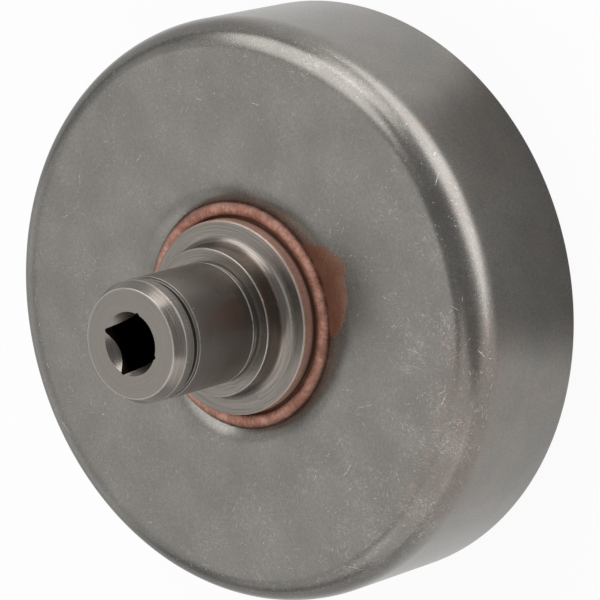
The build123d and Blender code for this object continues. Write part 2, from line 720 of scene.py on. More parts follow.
@dataclass(frozen=True)
class DrumSteel:
    """Dull drawn steel: grey, fine-grained, with a brown breath on one stretch of the rounding."""

    grey: Colour = (0.206, 0.196, 0.181)
    pale: Colour = (0.234, 0.221, 0.203)
    brown: Colour = (0.250, 0.190, 0.160)
    bore: Colour = (0.42, 0.40, 0.37)
    stained: Colour = (0.243, 0.208, 0.184)
    scuffed: Colour = (0.62, 0.595, 0.555)
    roughness: float = 0.27
    metallic: float = 0.9
    edge_tint: Colour = (0.94, 0.94, 0.94)
    brown_azimuth: float = math.radians(226.0)
    scuff_azimuth: float = math.radians(215.0)
    scuff_turns: tuple[float, ...] = (12.0, 58.0, 101.0, 147.0)
    brown_share: float = 0.6
    scuff_share: float = 0.85
    stain_share: float = 0.6
    grain_depth: float = 0.004

    def paint(self, bore_radius: float, inner_face: float, corner_start: float) -> bpy.types.Material:
        """Makes the material.

        Args:
            bore_radius: The worn bore's radius in millimetres.
            inner_face: The height of the cup's inner face.
            corner_start: The radius where the outer rounding begins.

        Returns:
            The material.
        """
        paint = Paint("drum_steel")
        mottle = paint.noise(0.16, 3.0, 0.5)
        grain = paint.noise(2.4, 4.0, 0.7)
        drawn = paint.rings(5.0, 2.0, 4.0, 0.7)
        colour = paint.blend(mottle.ramp(0.3, 0.7), self.grey, self.pale)

        # A brown breath on one stretch of the outer rounding.
        stretch = paint.facing(self.brown_azimuth).ramp(0.86, 0.97)
        breath = paint.noise(0.8, 5.0, 0.7).ramp(0.25, 0.75)
        rounding = paint.radius.ramp(corner_start - 2.0, corner_start + 1.5)
        rounding = rounding * paint.z.ramp(inner_face - 6.0, inner_face - 2.0)
        colour = paint.blend(stretch * breath * rounding * self.brown_share, colour, self.brown)

        # The friction bore, worn bright inside the cup.
        inside = paint.z.ramp(inner_face + 0.4, inner_face) * (paint.radius < bore_radius + 0.05)
        worn = inside * paint.radius.ramp(bore_radius - 0.3, bore_radius - 0.1)
        colour = paint.blend(worn, colour, self.bore)

        # Scratches on the face, stains and drawing marks on the wall.
        upper = paint.z.ramp(inner_face - 4.0, inner_face - 1.0)
        scuffs = self.scuffs(paint) * upper * (1 - inside)
        colour = paint.blend(scuffs * self.scuff_share, colour, self.scuffed)
        wall = paint.radius.ramp(corner_start + 3.0, corner_start + 4.8)
        stain = wall * (1 - inside) * paint.noise(0.14, 4.0, 0.65).ramp(0.46, 0.70)
        colour = paint.blend(stain * self.stain_share, colour, self.stained)
        colour = paint.scaled(colour, 0.71 + 0.56 * grain + 0.20 * wall * (drawn - 0.5))
        paint.relief(grain + drawn * (2 * worn + wall), self.grain_depth)
        roughness = self.roughness + 0.06 * (grain - 0.5) - 0.04 * worn
        return paint.finish(colour, roughness, self.metallic, self.edge_tint)

    def scuffs(self, paint: Paint) -> Value:
        """Hair-fine crossing scratches, which come in patches and mostly on one side.

        Args:
            paint: The material.

        Returns:
            A number up to 1 on the scratches.
        """
        outer = paint.radius.ramp(22.0, 35.0)
        share = 0.42 + 0.42 * paint.facing(self.scuff_azimuth).ramp(0.1, 0.95) * (0.30 + 0.70 * outer)
        result: Value | None = None
        for number, degrees in enumerate(self.scuff_turns):
            cosine, sine = math.cos(math.radians(degrees)), math.sin(math.radians(degrees))
            along = paint.x * cosine + paint.y * sine
            across = paint.y * cosine - paint.x * sine
            place = paint.vector(along, across * 8.5, paint.z * 5.0 + 17.0 * number)
            patch_place = paint.vector(paint.x * 0.17, paint.y * 0.17, paint.z * 0.17 + 5.0 * number)
            patch = paint.noise(1.0, 3.0, 0.6, patch_place).ramp(0.46, 0.66)
            line = paint.noise(1.0, 2.0, 0.6, place).ramp(0.56, 0.74) * patch
            result = line if result is None else result.most(line)
        return result * share


@dataclass(frozen=True)
class ShaftSteel:
    """Turned and ground steel: rings, a darker ground seat, pale edges from wear and a painted highlight,
    copper on the flange's wall, painted shade in the socket, the groove and the joint, and painted light on
    the groove's ledge.
    """

    turned: Colour = (0.230, 0.209, 0.187)
    ground: Colour = (0.275, 0.250, 0.228)
    dull: Colour = (0.165, 0.148, 0.132)
    land: Colour = (0.285, 0.266, 0.243)
    # Pale edges: handling wear with a painted highlight.
    bright: Colour = (0.66, 0.64, 0.61)
    tint: Colour = (0.58, 0.375, 0.300)
    # Painted shade over the copper stain, low in the joint beside the bead.
    joint_shade: Colour = (0.160, 0.084, 0.060)
    brown: Colour = (0.270, 0.185, 0.148)
    # Painted shade, for the socket's depth and the groove's floor.
    dark: Colour = (0.012, 0.012, 0.012)
    roughness: float = 0.26
    metallic: float = 0.95
    wall_brown: float = 0.45
    chamfer_brown: float = 0.2
    ring_contrast: float = 1.6
    ring_depth: float = 0.012
    worn_highlight_share: float = 0.8

    def paint(self, shaft: "HubShaft") -> bpy.types.Material:
        """Makes the material.

        Args:
            shaft: The shaft, for its heights and radii.

        Returns:
            The material.
        """
        paint = Paint("shaft_steel")
        coarse = paint.rings(3.5, 0.5, 2.0, 0.6)
        fine = paint.rings(13.0, 1.5, 2.0, 0.7)
        rings = 0.25 * coarse + 0.75 * fine
        cloud = paint.noise(0.35, 3.0, 0.6)

        # The ground seat, duller towards the shoulder.
        seat_edge = (shaft.seat_radius - 0.1, shaft.seat_radius - 0.03)
        seat = paint.zone((shaft.seat_start, shaft.groove_start), 0.03, seat_edge)
        rise = paint.z.ramp(shaft.seat_start - 2.0, shaft.groove_start + 1.0)
        colour = paint.blend(seat, self.turned, paint.blend(rise, self.dull, self.ground))

        # Copper on the flange's wall, with a painted shade where the wall sinks into the joint.
        edge = paint.radius.ramp(shaft.flange_radius - 0.25, shaft.flange_radius - 0.05)
        tinted = edge * (1 - paint.z.ramp(shaft.flange_top + 0.1, shaft.flange_top + 0.4))
        patchy = paint.noise(3.0, 4.0, 0.7).ramp(0.30, 0.70)
        colour = paint.blend(tinted * (0.40 + 0.55 * patchy), colour, self.tint)
        # Painted shade on the wall's lower part, in the valley between flange and bead.
        valley_shade = edge * (1 - paint.z.ramp(shaft.flange_top - 2.05, shaft.flange_top - 1.65))
        colour = paint.blend(valley_shade, colour, self.joint_shade)

        # Brown on the shoulder's wall and, weaker, on the end's chamfer.
        shoulder_edge = (shaft.shoulder_radius - 0.3, shaft.shoulder_radius - 0.1)
        wall = paint.zone((shaft.flange_top + 0.4, shaft.shoulder_top - 0.2), 0.2, shoulder_edge)
        chamfer = paint.z.ramp(shaft.chamfer_start, shaft.tip_top - 1.5)
        chamfer = chamfer * paint.radius.ramp(shaft.tip_radius - 0.1, shaft.tip_radius + 0.1)
        browned = (wall * self.wall_brown).most(chamfer * self.chamfer_brown)
        colour = paint.blend(browned * fine.ramp(0.40, 0.62), colour, self.brown)

        # Painted shade in the unlit depth of the drive socket.
        deep = paint.z.ramp(shaft.base + 0.8, shaft.base + 1.2)
        deep = deep * (1 - paint.z.ramp(shaft.tip_top - 1.9, shaft.tip_top - 1.0))
        deep = deep * (1 - paint.radius.ramp(shaft.socket_reach - 0.1, shaft.socket_reach))
        colour = paint.blend(deep, colour, self.dark)

        # The retaining ring groove: painted light on its lower ledge, painted shade on its floor, and the
        # land above it.
        floor = shaft.groove_radius
        slot = paint.radius.band(floor - 0.2, shaft.seat_radius - 0.04, 0.02)
        ledge = paint.z.band(shaft.groove_start - 0.10, shaft.groove_start + 0.16, 0.03) * slot * 0.8
        groove = paint.z.band(shaft.groove_start + 0.18, shaft.groove_end, 0.03)
        groove = groove * paint.radius.band(floor - 0.2, floor + 0.12, 0.06)
        colour = paint.blend(ledge, paint.blend(groove * 0.8, colour, self.dark), self.land)
        land = paint.zone((shaft.groove_end, shaft.chamfer_start), 0.05, (floor + 0.1, floor + 0.25))
        colour = paint.blend(land, colour, self.land)

        # Turning rings, fainter on the seat and on the end face, and pale edges: handling wear with a
        # painted highlight.
        strength = 1 - 0.4 * seat + 0.35 * (1 - paint.z.ramp(shaft.seat_start - 0.4, shaft.seat_start))
        faced = paint.z.ramp(shaft.tip_top - 0.25, shaft.tip_top - 0.1) * (1 - chamfer)
        strength = strength * (1 - 0.6 * faced)
        colour = paint.scaled(colour, 1 + (rings - 0.5) * strength * self.ring_contrast)
        worn = self.worn_and_highlit_edges(paint, shaft) * cloud.ramp(0.12, 0.42)
        colour = paint.blend(worn * self.worn_highlight_share, colour, self.bright)
        paint.relief(rings * strength, self.ring_depth)
        roughness = self.roughness + 0.10 * (cloud - 0.5) + 0.15 * tinted - 0.07 * chamfer
        metallic = self.metallic - 0.52 * tinted - 0.09 * seat - 0.22 * land - 0.60 * ledge
        return paint.finish(colour, roughness, metallic - 0.45 * worn)

    def worn_and_highlit_edges(self, paint: Paint, shaft: "HubShaft") -> Value:
        """The turned edges, pale from handling wear and from a painted highlight.

        Args:
            paint: The material.
            shaft: The shaft, for its heights and radii.

        Returns:
            A number up to 1 on the edges.
        """
        shoulder = 0.36 * paint.near(shaft.shoulder_radius, shaft.shoulder_top, 0.22)
        seat = paint.near(shaft.seat_radius, shaft.seat_start + 0.10, 0.28)
        chamfer = 0.35 * paint.near(shaft.land_radius, shaft.chamfer_start, 0.20)
        tip = 0.45 * paint.near(shaft.tip_radius, shaft.tip_top, 0.20)
        rim_height = shaft.flange_top - shaft.flange_fall
        flange = 0.07 * paint.near(shaft.flange_radius - 0.1, rim_height - 0.1, 0.24)
        return shoulder.most(seat).most(chamfer).most(tip).most(flange)


@dataclass(frozen=True)
class BrazeCopper:
    """Copper braze: a dull pink bead with fine cross ribs, browner where it ran onto the face."""

    bead: Colour = (0.345, 0.163, 0.118)
    pale: Colour = (0.510, 0.285, 0.218)
    run: Colour = (0.175, 0.070, 0.040)
    thin_run: Colour = (0.205, 0.092, 0.057)
    steel: Colour = (0.200, 0.125, 0.092)
    # Painted shade over the copper, in the valley beside the flange.
    valley_shade: Colour = (0.165, 0.072, 0.047)
    ribs: float = 46.0
    roughness: float = 0.42
    metallic: float = 0.80
    texture_depth: float = 0.075

    def paint(self, inner_radius: float, bead_radius: float) -> bpy.types.Material:
        """Makes the material.

        Args:
            inner_radius: The radius of the flange beside the bead, in millimetres.
            bead_radius: The bead's outer radius in millimetres.

        Returns:
            The material.
        """
        paint = Paint("braze_copper")
        cloud = paint.noise(0.5, 3.0, 0.6)
        grain = paint.noise(5.0, 3.0, 0.7).ramp(0.28, 0.72)
        across = paint.vector(paint.angle * self.ribs, paint.radius * 0.9, paint.z * 0.9)
        rib = paint.noise(1.0, 2.0, 0.6, across).ramp(0.28, 0.72)
        colour = paint.blend(cloud.ramp(0.35, 0.7), self.bead, self.pale)
        ran = paint.radius.ramp(bead_radius - 0.05, bead_radius + 0.25)
        colour = paint.blend(ran, colour, paint.blend(cloud.ramp(0.3, 0.7), self.run, self.thin_run))
        texture = 0.55 * grain + 0.45 * (rib * (1 - ran) + grain * ran)
        colour = paint.scaled(colour, 0.60 + 0.80 * texture - 0.20 * ran * (texture - 0.5))

        # A painted highlight along the bead's crest and a painted shade at its outer foot.
        middle = (inner_radius + bead_radius) / 2
        crest = paint.radius.band(middle - 0.30, middle + 0.40, 0.4)
        foot = paint.radius.ramp(bead_radius - 0.75, bead_radius - 0.05) * (1 - ran)
        colour = paint.scaled(colour, 0.97 + 0.12 * crest - 0.26 * foot)

        # The run thins to stained steel at its edge, and the valley beside the flange gets a painted shade
        # over the copper.
        spread = paint.attribute("spread") + 0.4 * (grain - 0.5) + 0.4 * (cloud - 0.5)
        edge = spread.ramp(0.80, 1.04)
        colour = paint.blend(edge * ran, colour, self.steel)
        valley_shade = 1 - paint.radius.ramp(inner_radius + 0.18, inner_radius + 0.62)
        colour = paint.blend(valley_shade, colour, self.valley_shade)
        paint.relief(texture * (1 - 0.75 * ran), self.texture_depth)
        roughness = self.roughness + 0.12 * (grain - 0.5) + 0.08 * ran
        return paint.finish(colour, roughness, self.metallic - 0.25 * ran)


@dataclass(frozen=True)
class BareNick:
    """Bright steel where handling has cut through the dull surface."""

    colour: Colour = (0.64, 0.62, 0.585)
    dull_share: float = 0.7
    roughness: float = 0.34

    def paint(self) -> bpy.types.Material:
        """Makes the material.

        Returns:
            The material.
        """
        paint = Paint("bare_nick")
        grain = paint.noise(2.0, 2.0, 0.6)
        dull = tuple(self.dull_share * part for part in self.colour)
        colour = paint.blend(grain.ramp(0.3, 0.7), self.colour, dull)
        return paint.finish(colour, self.roughness + 0.1 * grain)


def settle(piece: bpy.types.Object, node: str) -> None:
    """Puts a piece in place of a CAD node, on the one body.

    Args:
        piece: The finished piece.
        node: The CAD node's name.
    """
    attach(piece, BODY)
    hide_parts(node)


def joined(pieces: Sequence[bpy.types.Object]) -> bpy.types.Object:
    """Joins objects.

    Args:
        pieces: The objects.

    Returns:
        The first of them, which holds the rest.
    """
    first = pieces[0]
    with bpy.context.temp_override(active_object=first, selected_editable_objects=list(pieces)):
        bpy.ops.object.join()
    return first


@dataclass(frozen=True)
class Marks:
    """One kind of handling mark on the cup. Lengths in millimetres, density in marks per square metre."""

    name: str
    density: float
    patch_scale: float
    short: float
    long: float
    thin: float
    seed: int


@dataclass
class DrumCup:
    """The pressed cup: wall, rounded corner, face, hole with a rounded edge and collar, bore.

    Sizes are in millimetres.
    """

    radius: float
    face: float
    sheet: float = 2.5
    corner_radius: float = 5.0
    corner_tight: float = 4.2
    corner_turn: float = math.radians(55.0)
    corner_start: float = 36.3
    corner_ease: float = 9.0
    ease_turn: float = math.radians(10.0)
    hole_radius: float = 13.75
    hole_rounding: float = 8.0
    hole_rounding_reach: float = 6.8
    collar_drop: float = 1.95
    collar_wall: float = 2.7
    collar_fillet: float = 0.8
    edge: float = 0.3
    inset: float = 0.015
    steps: int = 320
    corner_steps: int = 12
    hole_edge_steps: int = 20
    marks: tuple[Marks, ...] = (
        Marks("nicks", 400000.0, 55.0, 0.05, 0.26, 0.045, 11),
        Marks("scratches", 46000.0, 130.0, 0.40, 1.50, 0.042, 5),
    )
    mark_azimuth: float = math.radians(222.0)
    mark_rise: float = 0.010
    mark_overlap: float = 1.5
    finish: DrumSteel = field(default_factory=DrumSteel)
    nick: BareNick = field(default_factory=BareNick)

    @property
    def inner_face(self) -> float:
        """The height of the inner face."""
        return self.face - self.sheet

    @property
    def bore(self) -> float:
        """The radius of the friction bore."""
        return self.radius - self.sheet

    @property
    def rounding_radius(self) -> float:
        """The radius where the face begins to round down into the hole."""
        return self.hole_radius + self.hole_rounding_reach

    @property
    def collar_floor(self) -> float:
        """The height of the collar's lower end, inside the cup."""
        return self.inner_face - self.collar_drop

    def surface(self, radius: float) -> float:
        """The height of the outside of the face at a radius, on the flat or on the hole's rounding."""
        run = max(0.0, self.rounding_radius - radius)
        return self.face - self.hole_rounding + math.sqrt(self.hole_rounding**2 - run**2)

    def corner_arc(self, outer: float) -> list[Point2]:
        """The outer corner: a soft start on the face, a tight arc, then a wider one down to the wall.

        Args:
            outer: The wall's radius.

        Returns:
            Points as (radius, height), from face to wall.
        """
        ease_shift = self.corner_ease - self.corner_tight
        ease_radius = self.corner_start - ease_shift * math.sin(self.ease_turn)
        ease_centre = (ease_radius, self.face - self.corner_ease)
        tight_centre = (self.corner_start, ease_centre[1] + ease_shift * math.cos(self.ease_turn))
        sine, cosine = math.sin(self.corner_turn), math.cos(self.corner_turn)
        wide = (outer - self.corner_start - self.corner_tight * sine) / (1 - sine)
        shift = wide - self.corner_tight
        wide_centre = (tight_centre[0] - shift * sine, tight_centre[1] - shift * cosine)
        points: list[Point2] = [(ease_radius, self.face)]
        for centre, reach, start, end in (
            (ease_centre, self.corner_ease, 0.0, self.ease_turn),
            (tight_centre, self.corner_tight, self.ease_turn, self.corner_turn),
            (wide_centre, wide, self.corner_turn, math.pi / 2),
        ):
            for step in range(1, self.corner_steps + 1):
                turn = start + (end - start) * step / self.corner_steps
                points.append((centre[0] + reach * math.sin(turn), centre[1] + reach * math.cos(turn)))
        return points

    def profile(self) -> list[Point2]:
        """The cup's section.

        Returns:
            A closed profile as (radius, height).
        """
        outer = self.radius - self.inset
        collar = self.hole_radius + self.collar_wall
        points: list[Point2] = [(self.hole_radius, self.collar_floor)]
        for step in range(self.hole_edge_steps):
            radius = self.hole_radius + self.hole_rounding_reach * step / self.hole_edge_steps
            points.append((radius, self.surface(radius)))
        points.append((self.rounding_radius, self.face))
        corner = self.corner_arc(outer)
        corners = (
            Corner(*corner[-1]),
            Corner(outer, self.inset, self.edge),
            Corner(self.bore, self.inset, self.edge),
            Corner(self.bore, self.inner_face, self.corner_radius - self.sheet),
            Corner(collar + self.collar_drop, self.inner_face, self.collar_fillet),
            Corner(collar, self.collar_floor),
        )
        return divided(points + corner[:-1] + rounded(corners, closed=False), closed=True)

    def build(self, lathe: LatheTree) -> bpy.types.Object:
        """Makes and dresses the cup, with its marks.

        Args:
            lathe: The tree that turns profiles.

        Returns:
            The piece.
        """
        steel = self.finish.paint(self.bore, self.inner_face, self.radius - self.corner_radius)
        cup = lathe.turn("drum", self.profile(), self.steps, steel)
        tree = NickTree()
        bare = self.nick.paint()
        flakes: list[bpy.types.Object] = []
        for marks in self.marks:
            values = {
                "Per Square Metre": marks.density,
                "Patch Scale": marks.patch_scale,
                "Thick Azimuth": self.mark_azimuth,
                "Inner Radius": (self.rounding_radius - self.mark_overlap) * MM,
                "Lowest": (self.face - self.corner_radius) * MM,
                "Short": marks.short * MM,
                "Long": marks.long * MM,
                "Thin": marks.thin * MM,
                "Rise": self.mark_rise * MM,
                "Seed": marks.seed,
                "Finish": bare,
            }
            flakes.append(tree.grow(marks.name, cup.data.copy(), values))
        cup = joined([cup, *flakes])
        settle(cup, "drum_cup")
        return cup


@dataclass
class HubShaft:
    """The turned stub shaft with its square drive socket. Sizes are in millimetres."""

    tip_top: float
    base: float
    flange_radius: float
    flange_top: float = 24.65
    flange_fall: float = 0.12
    flange_edge: float = 0.3
    root_fillet: float = 1.6
    root_reach: float = 1.1
    shoulder_radius: float = 10.4
    shoulder_top: float = 28.5
    relief_width: float = 0.6
    relief_depth: float = 0.2
    seat_radius: float = 8.5
    seat_length: float = 12.05
    groove_width: float = 1.1
    groove_depth: float = 0.4
    land_radius: float = 8.45
    tip_chamfer_length: float = 1.75
    tip_radius: float = 7.6
    socket_flats: float = 6.7
    socket_corner: float = 0.25
    socket_depth: float = 20.0
    mouth_radius: float = 4.4
    mouth_half_angle: float = math.radians(37.5)
    mouth_overrun: float = 0.5
    socket_overrun: float = 1.0
    pilot_radius: float = 3.15
    pilot_depth: float = 22.0
    pilot_point: float = 1.9
    pilot_start: float = 5.0
    edge: float = 0.07
    base_edge: float = 0.2
    shoulder_edge: float = 0.18
    seat_edge: float = 0.16
    groove_edge: float = 0.10
    chamfer_edge: float = 0.15
    tip_edge: float = 0.14
    steps: int = 256
    root_steps: int = 14
    socket_corner_steps: int = 4
    cutter_steps: int = 96
    finish: ShaftSteel = field(default_factory=ShaftSteel)

    @property
    def seat_start(self) -> float:
        """The height where the ground seat begins."""
        return self.shoulder_top + self.relief_width

    @property
    def groove_start(self) -> float:
        """The height of the groove's lower wall."""
        return self.shoulder_top + self.seat_length

    @property
    def groove_end(self) -> float:
        """The height of the groove's upper wall."""
        return self.groove_start + self.groove_width

    @property
    def groove_radius(self) -> float:
        """The radius of the groove's floor."""
        return self.seat_radius - self.groove_depth

    @property
    def chamfer_start(self) -> float:
        """The height where the end's chamfer begins."""
        return self.tip_top - self.tip_chamfer_length

    @property
    def socket_reach(self) -> float:
        """The radius to the socket's corners."""
        return self.socket_flats / 2 * math.sqrt(2) + 0.1

    def profile(self) -> list[Point2]:
        """The shaft's section.

        Returns:
            An open profile as (radius, height), from end to end on the axis.
        """
        relief = self.seat_radius - self.relief_depth
        groove = self.groove_radius
        edge = self.edge
        root = self.root_arc()
        flange = (
            Corner(0.0, self.base),
            Corner(self.flange_radius, self.base, self.base_edge),
            Corner(self.flange_radius, self.flange_top - self.flange_fall, self.flange_edge),
            Corner(*root[0]),
        )
        stub = (
            Corner(*root[-1]),
            Corner(self.shoulder_radius, self.shoulder_top, self.shoulder_edge),
            Corner(relief, self.shoulder_top, edge),
            Corner(relief, self.seat_start - self.relief_depth, edge),
            Corner(self.seat_radius, self.seat_start, self.seat_edge),
            Corner(self.seat_radius, self.groove_start, self.groove_edge),
            Corner(groove, self.groove_start, edge),
            Corner(groove, self.groove_end, edge),
            Corner(self.land_radius, self.groove_end, self.groove_edge),
            Corner(self.land_radius, self.chamfer_start, self.chamfer_edge),
            Corner(self.tip_radius, self.tip_top, self.tip_edge),
            Corner(0.0, self.tip_top),
        )
        points = rounded(flange, closed=False) + root[1:-1] + rounded(stub, closed=False)
        return divided(points, closed=False)

    def root_arc(self) -> list[Point2]:
        """The fillet between flange and shoulder, which meets the flange at a slight angle.

        Returns:
            Points as (radius, height), from flange to shoulder.
        """
        short = self.root_fillet - self.root_reach
        drop = math.sqrt(self.root_fillet**2 - short**2)
        centre_radius = self.shoulder_radius + self.root_fillet
        centre_height = self.flange_top + drop
        first = math.atan2(-drop, -short) + TAU
        points: list[Point2] = []
        for step in range(self.root_steps + 1):
            turn = first + (math.pi - first) * step / self.root_steps
            radius = centre_radius + self.root_fillet * math.cos(turn)
            points.append((radius, centre_height + self.root_fillet * math.sin(turn)))
        return points

    def socket_square(self) -> bpy.types.Object:
        """The square part of the socket's space, with small corner radii.

        Returns:
            A closed shape to cut with.
        """
        work = bmesh.new()
        half = self.socket_flats / 2
        ring: list[Point2] = []
        for quarter in range(4):
            turn = quarter * math.pi / 2
            cosine, sine = math.cos(turn), math.sin(turn)
            for step in range(self.socket_corner_steps + 1):
                angle = step / self.socket_corner_steps * math.pi / 2
                x = half - self.socket_corner * (1 - math.cos(angle))
                y = half - self.socket_corner * (1 - math.sin(angle))
                ring.append((x * cosine - y * sine, x * sine + y * cosine))
        floor = self.tip_top - self.socket_depth
        top = self.tip_top + self.socket_overrun
        low = [work.verts.new((x * MM, y * MM, floor * MM)) for x, y in ring]
        high = [work.verts.new((x * MM, y * MM, top * MM)) for x, y in ring]
        count = len(ring)
        for index in range(count):
            after = (index + 1) % count
            work.faces.new((low[index], low[after], high[after], high[index]))
        work.faces.new(list(reversed(low)))
        work.faces.new(high)
        return placed("socket_square", closed_mesh("socket_square", work))

    def socket_turnings(self, lathe: LatheTree) -> list[bpy.types.Object]:
        """The turned parts of the socket's space: its conical mouth, and the pilot with its drill point.

        Args:
            lathe: The tree that turns profiles.

        Returns:
            Closed shapes to cut with.
        """
        slope = math.tan(self.mouth_half_angle)
        mouth_top = self.tip_top + self.mouth_overrun
        mouth = (
            (0.0, self.tip_top - self.mouth_radius / slope),
            (self.mouth_radius + self.mouth_overrun * slope, mouth_top),
            (0.0, mouth_top),
        )
        pilot_floor = self.tip_top - self.pilot_depth
        pilot_top = self.tip_top - self.pilot_start
        pilot = (
            (0.0, pilot_floor - self.pilot_point),
            (self.pilot_radius, pilot_floor),
            (self.pilot_radius, pilot_top),
            (0.0, pilot_top),
        )
        profiles = {"socket_mouth": mouth, "socket_pilot": pilot}
        return [lathe.turn(name, profile, self.cutter_steps, None) for name, profile in profiles.items()]

    def build(self, lathe: LatheTree) -> bpy.types.Object:
        """Makes and dresses the shaft, with its socket cut.

        Args:
            lathe: The tree that turns profiles.

        Returns:
            The piece.
        """
        steel = self.finish.paint(self)
        shaft = lathe.turn("shaft", self.profile(), self.steps, steel)
        cutters = [self.socket_square(), *self.socket_turnings(lathe)]
        for cutter in cutters:
            modifier = shaft.modifiers.new(cutter.name, "BOOLEAN")
            modifier.operation = "DIFFERENCE"
            modifier.solver = "EXACT"
            modifier.object = cutter
        plain = evaluated_mesh(shaft)
        shaft.modifiers.clear()
        shaft.data = plain
        for cutter in cutters:
            bpy.data.objects.remove(cutter)
        plain.materials.clear()
        plain.materials.append(steel)
        for face in plain.polygons:
            face.material_index = 0
        plain.shade_smooth()
        plain.set_sharp_from_angle(angle=SHARP_ANGLE)
        settle(shaft, "hub_shaft")
        return shaft


@dataclass
class BrazeRing:
    """The copper bead between flange and cup, and the copper that ran onto the face.

    Sizes are in millimetres. A wander of the run's edge has a frequency, an offset and a reach.
    """

    cup: DrumCup
    inner_radius: float
    bead_reach: float = 2.05
    bead_height: float = 0.80
    valley_offset: float = 0.28
    valley_rise: float = 0.06
    meniscus_rise: float = 0.22
    film: float = 0.07
    film_reach: float = 6.6
    film_start: float = math.radians(-122.0)
    film_end: float = math.radians(-71.0)
    lobes: tuple[float, ...] = (0.0, 0.48, 0.66, 0.78, 0.84, 0.96, 0.77, 0.42, 0.0)
    film_overlap: float = 0.5
    film_margin: float = 0.42
    film_sink: float = 0.01
    film_root: float = 0.05
    wanders: tuple[tuple[float, float, float], ...] = ((22.0, 3.1, 0.30), (75.0, 7.7, 0.16))
    film_side_slope: float = 14.0
    film_columns: int = 150
    film_rows: int = 34
    bead_fullness: float = 0.75
    meniscus_reach: float = 0.12
    meniscus_foot: float = 0.05
    skirt_inset: float = 0.2
    lump_height: float = 0.045
    steps: int = 480
    groove_steps: int = 8
    bead_steps: int = 20
    finish: BrazeCopper = field(default_factory=BrazeCopper)

    @property
    def bead_radius(self) -> float:
        """The bead's outer radius."""
        return self.cup.hole_radius + self.bead_reach

    @property
    def bead_foot(self) -> float:
        """The height of the bead's outer edge, on the hole's rounding."""
        return self.cup.surface(self.bead_radius)

    def profile(self) -> list[Point2]:
        """The bead's section: groove side, crest, valley, meniscus and skirt.

        Returns:
            A closed profile as (radius, height).
        """
        foot = self.bead_foot
        valley = self.inner_radius + self.valley_offset
        middle = (self.bead_radius + valley) / 2
        half = (self.bead_radius - valley) / 2
        points: list[Point2] = []
        for step in range(self.groove_steps + 1):
            radius = self.cup.hole_radius + self.bead_reach * step / self.groove_steps
            points.append((radius, self.cup.surface(radius)))
        for step in range(1, self.bead_steps):
            share = step / self.bead_steps
            lift = math.sin(share * math.pi) ** self.bead_fullness
            height = foot + self.bead_height * lift + self.valley_rise * share * (1 - lift)
            points.append((middle + half * math.cos(share * math.pi), height))
        skirt_floor = self.cup.collar_floor + self.skirt_inset
        points += [
            (valley, foot + self.valley_rise),
            (self.inner_radius + self.meniscus_reach, foot + self.valley_rise + self.meniscus_foot),
            (self.inner_radius, foot + self.meniscus_rise),
            (self.inner_radius, skirt_floor),
            (self.cup.hole_radius, skirt_floor),
        ]
        return divided(points, closed=True)

    def lobe(self, share: float) -> float:
        """How far the run reaches, smooth between the lobes.

        Args:
            share: The place along its width, from 0 to 1.

        Returns:
            The share of its longest reach.
        """
        spans = len(self.lobes) - 1
        place = min(max(share, 0.0), 1.0) * spans
        index = min(int(place), spans - 1)
        part = place - index
        part = part * part * (3 - 2 * part)
        return self.lobes[index] * (1 - part) + self.lobes[index + 1] * part

    def run(self, material: bpy.types.Material) -> bpy.types.Object:
        """The film of copper on rounding and face, thin at its wandering edge.

        Args:
            material: Its finish.

        Returns:
            The film, with how far it has spread at its points.
        """
        work = bmesh.new()
        across, along = self.film_columns, self.film_rows
        top: list[list[bmesh.types.BMVert]] = []
        bottom: list[list[bmesh.types.BMVert]] = []
        shares: list[float] = []
        for column in range(across + 1):
            share = column / across
            angle = self.film_start + (self.film_end - self.film_start) * share
            side = min(1.0, share * self.film_side_slope, (1 - share) * self.film_side_slope)
            reach = self.film_reach * self.lobe(share) + self.wander(share) + self.film_margin
            top.append([])
            bottom.append([])
            for row in range(along + 1):
                out = row / along
                radius = self.bead_radius - self.film_overlap + reach * out
                uneven = 1 + 0.2 * noise.noise(Vector((radius * 1.6, angle * 26.0, 1.0)))
                surface = self.cup.surface(radius)
                height = surface - self.film_sink + self.film * (1 - out**6) * side * uneven
                spot = (radius * math.cos(angle) * MM, radius * math.sin(angle) * MM)
                top[column].append(work.verts.new((*spot, height * MM)))
                bottom[column].append(work.verts.new((*spot, (surface - self.film_root) * MM)))
                shares += [max(out, 1 - side), 1.0]
        for column in range(across):
            left, right = top[column], top[column + 1]
            under_left, under_right = bottom[column], bottom[column + 1]
            for row in range(along):
                after = row + 1
                work.faces.new((left[row], left[after], right[after], right[row]))
                work.faces.new((under_left[row], under_right[row], under_right[after], under_left[after]))
            for row in (0, along):
                work.faces.new((left[row], right[row], under_right[row], under_left[row]))
        for upper, lower in ((top[0], bottom[0]), (top[across], bottom[across])):
            for row in range(along):
                work.faces.new((upper[row], lower[row], lower[row + 1], upper[row + 1]))
        mesh = closed_mesh("copper_run", work)
        spread = mesh.attributes.new("spread", "FLOAT", "POINT")
        for index, share in enumerate(shares):
            spread.data[index].value = share
        mesh.materials.append(material)
        mesh.shade_smooth()
        return placed("copper_run", mesh)

    def wander(self, share: float) -> float:
        """How far the run's edge strays at a share of its width."""
        places = ((Vector((share * often, offset, 0.0)), far) for often, offset, far in self.wanders)
        return sum(noise.noise(place) * far for place, far in places)

    def lumps(self, mesh: bpy.types.Mesh) -> None:
        """Makes the bead's top slightly uneven, as metal that flowed and froze.

        Args:
            mesh: The bead's mesh.
        """
        for vertex in mesh.vertices:
            radius = math.hypot(vertex.co.x, vertex.co.y) / MM
            height = vertex.co.z / MM
            if height < self.bead_foot + 0.02 or radius < self.inner_radius + 0.02:
                continue
            angle = math.atan2(vertex.co.y, vertex.co.x)
            place = Vector((math.cos(angle) * 9.0, math.sin(angle) * 9.0, height * 1.5))
            lift = noise.noise(place) * self.lump_height
            vertex.co.z += lift * MM

